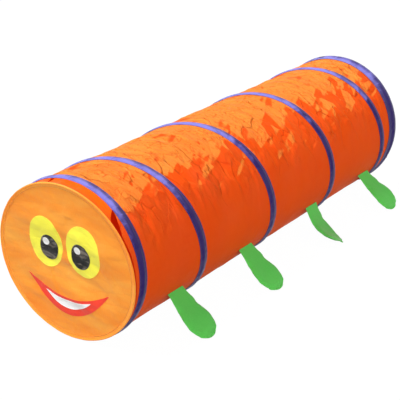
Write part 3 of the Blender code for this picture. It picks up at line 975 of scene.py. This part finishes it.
def hem_finish():
    """The disc's cloth again, doubled and with its row of stitches."""
    made = flap_cloth.copy()
    made.name = "hem_taffeta"
    shader, cloth = opened(made)
    colour, normal = (shader[name].links[0].from_socket for name in ("Base Color", "Normal"))
    colour, normal = stitched(
        cloth, ROW_INSET, HEM_STITCH, HEM_STITCH_DEPTH, HEM_THREAD, colour, normal
    )
    feed(shader, {"Base Color": colour, "Normal": normal})
    return made


hem = hem_ring(hem_finish())
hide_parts("face_hem")
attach(hem, "face_flap")

face_wire_radius = disc_radius - HEM_BEAD


def in_hem(angle, side, up):
    """Points measured from the middle of the hem's channel, at angles round the disc."""
    reach = face_wire_radius + side
    return on_disc(reach * np.cos(angle), reach * np.sin(angle), up)


FACE_WIRE_GAP, FACE_WIRE_STATIONS = 0.002, 241
wire_angle = math.pi + np.linspace(FACE_WIRE_GAP, math.tau - FACE_WIRE_GAP, FACE_WIRE_STATIONS)
face_ring = drawn_wire(
    "face_ring_wire", wire_angle * face_wire_radius,
    lambda side, up: in_hem(wire_angle[:, None], side, up),
)
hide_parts("face_hoop_wire")
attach(face_ring, "face_flap")

face_crimp = crimped_sleeve(
    "face_ring_crimp", lambda at, side, up: in_hem(math.pi + at / face_wire_radius, side, up), 0.0
)
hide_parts("face_wire_sleeve")
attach(face_crimp, "face_flap")

# FLAP STRIPS
# Two strips of the cover's cloth hang the disc from the front hoop, one each side of a slit. They
# are caught under the front tape's edge and behind the disc's hem, and belly in between the two.

STRIP_CLOTH = 0.0005
STRIP_TURNS = {"left_flap_strip": (0.466, 0.605), "right_flap_strip": (0.345, 0.458)}
STRIP_STATIONS = (70, 15)
STRIP_BELLY = 0.0035
STRIP_RIPPLES = ((0.5, 0.020, 0.0022), (1, 0.050, 0.003))
STRIP_SLANT, SLANT_FROM, SLANT_RISE = 0.045, 0.06, 0.10
BELLY_POWER = 0.8
STRIP_ACROSS = 0.05
STRIP_LAP, STRIP_INSET = 0.0015, 0.0021
STRIP_GAP = 0.0001
strip_taffeta = taffeta(
    "strip_taffeta", (0.98, 0.135, 0.0050, 1), (0.95, 0.095, 0.0030, 1), crease=0.024,
    crease_depth=0.0012, glow_through=0.30, specular=0.05,
)


def strip_of(name, first, last):
    """A strip from the hoop's edge out to the back of the disc's rim."""
    turns, share = (np.linspace(*ends) for ends in zip((first, 0), (last, 1), STRIP_STATIONS))
    from_top = turns - 0.5
    low_end = np.clip((np.abs(from_top) - SLANT_FROM) / SLANT_RISE, 0, 1) * np.sign(from_top)
    turn = turns[:, None] + STRIP_SLANT * low_end[:, None] * share
    start = round_axis(front_x - tape_half + STRIP_LAP, turn, cover_radius + STRIP_GAP)
    angle = math.tau * turn
    reach = disc_radius - STRIP_INSET
    end = on_disc(-reach * np.sin(angle), -reach * np.cos(angle), -HEM_BEAD - 2 * STRIP_GAP)
    middle = start + (end - start) * share[:, None]
    outward = np.stack([0 * angle, np.sin(angle), -np.cos(angle)], axis=-1)
    ripple = sum(
        soft_noise(middle * (squeeze, 1, 1), size, seed) * depth
        for seed, (squeeze, size, depth) in enumerate(STRIP_RIPPLES, 71)
    )
    belly = (ripple - STRIP_BELLY) * np.sin(math.pi * share) ** BELLY_POWER
    face = middle + outward * belly[..., None]
    return two_faced(
        name + "_cloth", face, face - outward * STRIP_CLOTH, turns * cover_round,
        share * STRIP_ACROSS, STRIP_CLOTH, strip_taffeta, False,
    )


for name, (first, last) in STRIP_TURNS.items():
    strip = strip_of(name, first, last)
    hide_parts(name)
    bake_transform(strip)

# FACE
# A plain smiling face of satin patches, each sewn down round its edge with close stitches in its
# own colour: yellow eyes, black pupils with a white glint, and a red mouth with a white band.

PATCH_CLOTH = 0.0005
PATCH_GAP = 0.0001
LAYER_GAP = 0.0002
EDGE_THREAD = 0.0009
EDGE_SIDES = 8
EDGE_FLATNESS = 0.45
EDGE_SEAT = 0.8
SMILE_MIDDLE, SMILE_CORNER, SMILE_POINT = 0.08, 0.999, 0.001


def patch_finish(name, lit, deep, roughness, coat=0.0, painted_reflections=None):
    """Smooth close-woven patch cloth that still shows the disc's creases through it, and, where
    given, painted reflections in light streaks.
    """
    made = taffeta(name, lit, deep, roughness=roughness, sheen=0.12, sheen_tint=(1, 1, 1, 1),
                   crease=0.030, crease_depth=0.0022, crease_run=(0.40, 1, 1), soil=0.02)
    shader, cloth = opened(made)
    feed(shader, {"Coat Weight": coat, "Coat Roughness": 0.28})
    # painted reflections: light wavy streaks over the cloth, standing for gloss
    if painted_reflections:
        stretched = vector_maths("MULTIPLY", cloth, (22.0, 62.0, 1.0))
        mask = ramp(clouds(stretched, Distortion=0.6)["Fac"], 0.50, 0.78)
        colour = shader["Base Color"].links[0].from_socket
        feed(shader, {"Base Color": blend_colour(mask, colour, painted_reflections)})
    return made


yellow_patch = patch_finish("yellow_satin", (0.98, 0.93, 0.10, 1), (0.93, 0.85, 0.05, 1), 0.38)
# the black pupils get painted reflections in brownish streaks
black_patch = patch_finish("black_gloss", (0.010, 0.008, 0.007, 1), (0.003, 0.003, 0.003, 1), 0.22,
                           0.10, (0.300, 0.255, 0.205, 1))
white_patch = patch_finish("white_satin", (0.90, 0.90, 0.89, 1), (0.82, 0.82, 0.81, 1), 0.40)
red_patch = patch_finish("red_satin", (0.88, 0.060, 0.030, 1), (0.78, 0.035, 0.018, 1), 0.38)


def edge_stitching(name, outline, lift, finish):
    """Close stitches over a patch's edge: a flat bead of thread round its outline."""
    outline = np.asarray(outline, float)
    ahead = np.roll(outline, -1, axis=0) - np.roll(outline, 1, axis=0)
    ahead /= np.maximum(np.linalg.norm(ahead, axis=1, keepdims=True), 1e-9)
    away = np.stack([ahead[:, 1], -ahead[:, 0]], axis=1)
    spin = spokes(EDGE_SIDES)
    across = np.cos(spin) * EDGE_THREAD
    rise = np.sin(spin) * EDGE_THREAD * EDGE_FLATNESS
    steps = np.linalg.norm(np.roll(outline, -1, axis=0) - outline, axis=1)
    right = outline[:, :1] + away[:, :1] * across
    up = outline[:, 1:] + away[:, 1:] * across
    height = disc_folds(outline[:, 0], outline[:, 1])[:, None] + lift + rise
    round_thread = np.linspace(0, math.tau * EDGE_THREAD, EDGE_SIDES + 1)
    return sewn(name, on_disc(right, up, height), run_up(steps), round_thread, finish)


def sew_patch(node, points, faces, outline, layer, finish, slot_name):
    """Sews one patch and its edge stitching on the disc, on top of as many layers as given."""
    lift = DISC_CLOTH / 2 + PATCH_GAP + layer * (PATCH_CLOTH + LAYER_GAP)
    patch = flat_piece(node + "_patch", points, faces, lift, PATCH_CLOTH, finish)
    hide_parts(node)
    edge = edge_stitching(node + "_edge", outline, lift + PATCH_CLOTH * EDGE_SEAT, finish)
    for piece in (patch, edge):
        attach(piece, "face_flap")


for layer, (part, finish, slot_name, oval_rings, sides) in enumerate((
    ("eye", yellow_patch, "yellow_patch", 20, 96),
    ("pupil", black_patch, "black_patch", 20, 96),
    ("glint", white_patch, "white_patch", 6, 48),
)):
    for node in (f"left_{part}", f"right_{part}"):
        flat = cad_on_disc(node)
        middle = (flat.min(axis=0) + flat.max(axis=0)) / 2
        points, faces = round_cut(oval_rings, sides, *np.ptp(flat, axis=0) / 2, *middle)
        sew_patch(node, points, faces, points[-sides:], layer, finish, slot_name)


def smile_cut(node, columns=80, rows=10):
    """The crescent between the patch's own upper and lower curves: points, faces and outline."""
    flat = cad_on_disc(node)
    half_width = np.ptp(flat[:, 0]) / 2
    middle = flat[np.abs(flat[:, 0]) < half_width * SMILE_MIDDLE][:, 1]
    corners = flat[np.abs(flat[:, 0]) > half_width * SMILE_CORNER][:, 1]
    top, bottom = corners.max(), corners.min()
    share = np.linspace(-1, 1, columns + 1)
    arch = 1 - share ** 2
    upper = top - (top - middle.max()) * arch
    lower = bottom - (bottom - middle.min()) * arch
    grid = upper + (lower - upper) * np.linspace(0, 1, rows + 1)[:, None]
    pointed = top - bottom < SMILE_POINT
    index, points, names = {}, [], np.zeros(grid.shape, int)
    for r in range(rows + 1):
        for c in range(columns + 1):
            key = (c, 0 if pointed and c in (0, columns) else r)
            if key not in index:
                index[key] = len(points)
                points.append([half_width * share[c], grid[r, c]])
            names[r, c] = index[key]
    faces = []
    for r in range(rows):
        for c in range(columns):
            quad = [names[r, c], names[r + 1, c], names[r + 1, c + 1], names[r, c + 1]]
            faces.append([int(v) for v in dict.fromkeys(quad)])
    loop = [*names[0, ::-1], *names[1:rows, 0], *names[rows], *names[rows - 1:0:-1, columns]]
    return points, faces, [points[i] for i in dict.fromkeys(loop)]


sew_patch("mouth", *smile_cut("mouth"), 0, red_patch, "red_patch")
sew_patch("teeth", *smile_cut("teeth", 50, 6), 1, white_patch, "white_patch")

# LEGS
# Eight flat paddles of green cloth, sewn inside out, turned and lightly filled, so that the seam
# round the edge puckers. The open end is pressed flat and sewn to the cover's side.

LEG_LENGTH = 0.168
LEG_ROOT_HALF = 0.036
LEG_NECK = 0.048
LEG_FOOT_RADIUS = 0.0545
LEG_ROWS = 60
LEG_COLUMNS = 22
LEG_PUFF = 0.0070
LEG_TIP_TAPER = 0.022
LEG_TIP_SHARE = 0.9994
LEG_EASE = 0.0060
LEG_EASE_LENGTH = 2.4 * LEG_NECK
LEG_FLAT_END = 0.02
LEG_ROW_POWER = 0.9
LEG_CLOSING = 0.001
LEG_SEAM_HALF = 0.0004
LEG_START_HALF = 0.0018
FILLING = {
    "quality": 6, "mass": 0.12, "tension_stiffness": 15, "compression_stiffness": 15,
    "shear_stiffness": 10, "bending_stiffness": 0.6, "use_pressure": True,
    "uniform_pressure_force": 5.0, "shrink_min": -0.06,
}
FILLING_STEPS = 20
PUFF_PASSES = 4
LEG_LUMPS, LUMP_SIZE, LUMPS_FROM = 0.0012, 0.030, 0.03
UPPER_THIN, UPPER_FULL_AT = 0.35, (0.02, 0.09)
LEG_ROOM = 0.0054
LEG_ROOM_SLOPES = (36, 48)
LEG_ROOM_RISE = 0.012
LEG_ROOM_ENDS = (0.045, 0.110)
LEG_BENDS = {
    "left_leg_1": (46, 42, 0, 4), "left_leg_2": (47, 40, 0, 5), "left_leg_3": (72, 13, 26, 4),
    "left_leg_4": (36, 54, 0, 9), "right_leg_1": (44, 43, 0, 4), "right_leg_2": (46, 42, 0, 4),
    "right_leg_3": (40, 48, 0, 5), "right_leg_4": (45, 43, 0, 4),
}
GREEN_LIT = (0.120, 0.600, 0.094, 1)
GREEN_DEEP = (0.080, 0.490, 0.070, 1)
green_cloth = taffeta("green_cloth", GREEN_LIT, GREEN_DEEP, roughness=0.55, sheen=0.30,
                      sheen_tint=(0.75, 1.0, 0.6, 1))


def paddle_half_width(at):
    """Half the paddle's width at distances from its sewn end."""
    middle = LEG_LENGTH - LEG_FOOT_RADIUS
    width = LEG_ROOT_HALF + (LEG_FOOT_RADIUS - LEG_ROOT_HALF) * eased(at, LEG_NECK, middle)
    past = np.clip(at - middle, 0, None) / LEG_FOOT_RADIUS
    return width * np.sqrt(np.clip(1 - past ** 2, 0, 1))


def filled_paddle():
    """A flat paddle's two faces, blown up as its filling does: distance, side and height."""
    share = np.linspace(0, 1, LEG_ROWS)
    at = LEG_LENGTH * LEG_TIP_SHARE * np.sin(share * math.pi / 2) ** LEG_ROW_POWER
    across = np.sin(np.linspace(-1, 1, LEG_COLUMNS) * math.pi / 2)
    at_grid, across_grid = np.meshgrid(at, across, indexing="ij")
    ease = LEG_EASE * np.sin(math.pi * np.clip(at_grid / LEG_EASE_LENGTH, 0, 1)) ** 2
    side = across_grid * (paddle_half_width(at_grid) + ease)
    inside = np.sqrt(np.clip(1 - across_grid ** 2, 0, 1)) * np.clip(at_grid / LEG_FLAT_END, 0, 1)
    half = LEG_SEAM_HALF + LEG_START_HALF * inside
    upper, lower = (np.stack([at_grid, side, height], axis=-1) for height in (half, -half))
    rings = np.concatenate([upper, lower[:, ::-1]], axis=1)
    width = rings.shape[1]
    blank = sewn("paddle_blank", rings, at, np.zeros(width + 1), green_cloth, ring_loop=False)
    pinned = blank.vertex_groups.new(name="sewn_end")
    pinned.add(list(range(width * 2)), 1.0, "REPLACE")
    cloth = blank.modifiers.new("filling", "CLOTH")
    for setting, value in FILLING.items():
        setattr(cloth.settings, setting, value)
    cloth.settings.vertex_group_mass = pinned.name
    cloth.settings.effector_weights.gravity = 0
    cloth.collision_settings.use_collision = False
    cloth.point_cache.frame_start = 1
    cloth.point_cache.frame_end = FILLING_STEPS + 4
    for step in range(1, FILLING_STEPS + 1):
        bpy.context.scene.frame_set(step)
    graph = bpy.context.evaluated_depsgraph_get()
    shape = blank.evaluated_get(graph).to_mesh()
    blown = np.array([v.co for v in shape.vertices]).reshape(rings.shape)
    bpy.context.scene.frame_set(1)
    puff = np.clip((blown - rings)[..., 2], -LEG_PUFF, LEG_PUFF)
    for _ in range(PUFF_PASSES):
        puff = (np.roll(puff, 1, axis=1) + 2 * puff + np.roll(puff, -1, axis=1)) / 4
        puff[1:-1] = (puff[:-2] + 2 * puff[1:-1] + puff[2:]) / 4
    tip = np.clip((LEG_LENGTH - at[:, None]) / LEG_TIP_TAPER, 0, 1)
    rings[..., 2] += puff * np.sqrt(tip)
    bpy.data.objects.remove(blank)
    return rings


paddle = filled_paddle()


def swing_room(at, slope):
    """How far a leg's sewn end hangs below its line, so that it clears the cover as it swings."""
    room = LEG_ROOM * np.interp(slope, LEG_ROOM_SLOPES, (1, 0))
    return room * (1 - np.exp(-at / LEG_ROOM_RISE)) * (1 - eased(at, *LEG_ROOM_ENDS))


def bent_leg(node, seed):
    """A filled paddle set against the cover by its sewn end and bent down to the floor."""
    slope_root, slope_tip, twist_tip, lean = (math.radians(each) for each in LEG_BENDS[node])
    seam = np.array(next(j["pos_m"] for j in frame["joints"] if j["name"] == node + "_swing"))
    direction = 1.0 if seam[1] > 0 else -1.0
    at, side, height = (paddle[..., k] for k in range(3))
    rough = np.stack([at, side * direction, height * 2], axis=-1)
    lumps = LEG_LUMPS * soft_noise(rough, LUMP_SIZE, seed)
    height = height + lumps * np.clip(at / LUMPS_FROM, 0, 1)
    fuller = UPPER_THIN + (1 - UPPER_THIN) * eased(at, *UPPER_FULL_AT)
    height = np.where(height > 0, height * fuller, height)
    height = height - swing_room(at, LEG_BENDS[node][0])
    bend = (slope_tip - slope_root) * at / LEG_LENGTH
    half_bend = np.where(np.abs(bend) < 1e-6, 1e-6, bend) / 2
    reach = at * np.sin(half_bend) / half_bend
    chord = slope_root + bend / 2
    middle = seam + np.stack([
        at * math.tan(lean), direction * reach * np.cos(chord), -reach * np.sin(chord)
    ], axis=-1)
    slope = slope_root + bend
    top = np.stack([0 * slope, direction * np.sin(slope), np.cos(slope)], axis=-1)
    twist = (twist_tip * at / LEG_LENGTH)[..., None]
    along_x = np.array([1.0, 0, 0])
    across = along_x * np.cos(twist) - top * np.sin(twist)
    top = top * np.cos(twist) + along_x * np.sin(twist)
    rings = middle + across * side[..., None] + top * height[..., None]
    curve = run_up(np.linalg.norm(np.diff(paddle[0], axis=0), axis=1))
    across_steps = np.append(curve, curve[-1] + LEG_CLOSING)
    leg = sewn(node + "_padded", rings, paddle[:, 0, 0], across_steps, green_cloth, False)
    if direction < 0:
        leg.data.flip_normals()
    return leg, seam


for seed, node in enumerate(LEG_BENDS, 81):
    leg, seam = bent_leg(node, seed)
    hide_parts(node)
    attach(leg, node + "_paddle")
    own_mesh(leg)

# STUDIO
# A plain pale floor, a soft key light from above and from the right side, a broad low fill from
# the camera's side, even light from all round, and a camera placed as the photograph's was.

FLOOR_SIZE = 40.0
FLOOR_GREY = (0.24, 0.24, 0.24, 1)
FLOOR_GLOW = 0.88
FLOOR_WHITE = 1.12
WHITE = (1, 1, 1, 1)
CAMERA_PLACE = (-3.0713, -1.9775, 1.6492)
CAMERA_RIGHT = (0.56117, -0.82760, 0.01293)
CAMERA_UP = (0.30404, 0.22065, 0.92675)
CAMERA_LENS = 108.83
CAMERA_SENSOR = 36.0
LAMPS = {"key": (3.5, (-0.30, 0.40, 0.87), 24), "fill": (2.45, (-0.60, -0.74, 0.24), 60)}
ROUND_STRENGTH = 0.34


def direct_view(tree):
    """1 where the camera sees a surface itself or mirrored, and 0 for the light that it gives."""
    path = tree.nodes.new("ShaderNodeLightPath").outputs
    mirrored = maths("MAXIMUM", path["Is Glossy Ray"], path["Is Transmission Ray"])
    return maths("MAXIMUM", path["Is Camera Ray"], mirrored)


mesh = bpy.data.meshes.new("floor")
half = FLOOR_SIZE / 2
floor_z = min(0.0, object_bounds()[0][2])
mesh.from_pydata(
    [(x * half, y * half, floor_z) for x, y in ((-1, -1), (1, -1), (1, 1), (-1, 1))],
    [], [(0, 1, 2, 3)],
)
floor = into_scene("floor", mesh)
floor_white = bpy.data.materials.new("floor_white")
floor_white.use_nodes = True
tree = floor_white.node_tree
shader, glow = tree.nodes["Principled BSDF"], tree.nodes.new("ShaderNodeEmission")
feed(shader.inputs, {"Base Color": FLOOR_GREY, "Roughness": 0.9, "Specular IOR Level": 0.1})
feed(glow.inputs, {"Color": WHITE, "Strength": FLOOR_WHITE})
mixed = wire_up("ShaderNodeMixShader", {
    0: times(direct_view(tree), FLOOR_GLOW), 1: shader.outputs[0], 2: glow.outputs[0]
})
feed(tree.nodes["Material Output"].inputs, {"Surface": mixed[0]})
mesh.materials.append(floor_white)

for name, (energy, place, width_deg) in LAMPS.items():
    light = bpy.data.lights.new(name, "SUN")
    light.energy = energy
    light.angle = math.radians(width_deg)
    into_scene(name, light).rotation_euler = Vector(place).to_track_quat("Z", "Y").to_euler()

world = bpy.data.worlds.new("room")
bpy.context.scene.world = world
world.use_nodes = True
tree = world.node_tree
feed(tree.nodes["Background"].inputs, {
    "Color": WHITE, "Strength": maths("MAXIMUM", direct_view(tree), ROUND_STRENGTH)
})

camera_data = bpy.data.cameras.new("photo_camera")
camera_data.lens = CAMERA_LENS
camera_data.sensor_width = CAMERA_SENSOR
camera = into_scene("photo_camera", camera_data)
right, up = Vector(CAMERA_RIGHT), Vector(CAMERA_UP)
facing = Matrix((right, up, right.cross(up))).transposed().to_4x4()
camera.matrix_world = Matrix.Translation(CAMERA_PLACE) @ facing
bpy.context.scene.camera = camera
bpy.context.scene.view_settings.view_transform = "Standard"
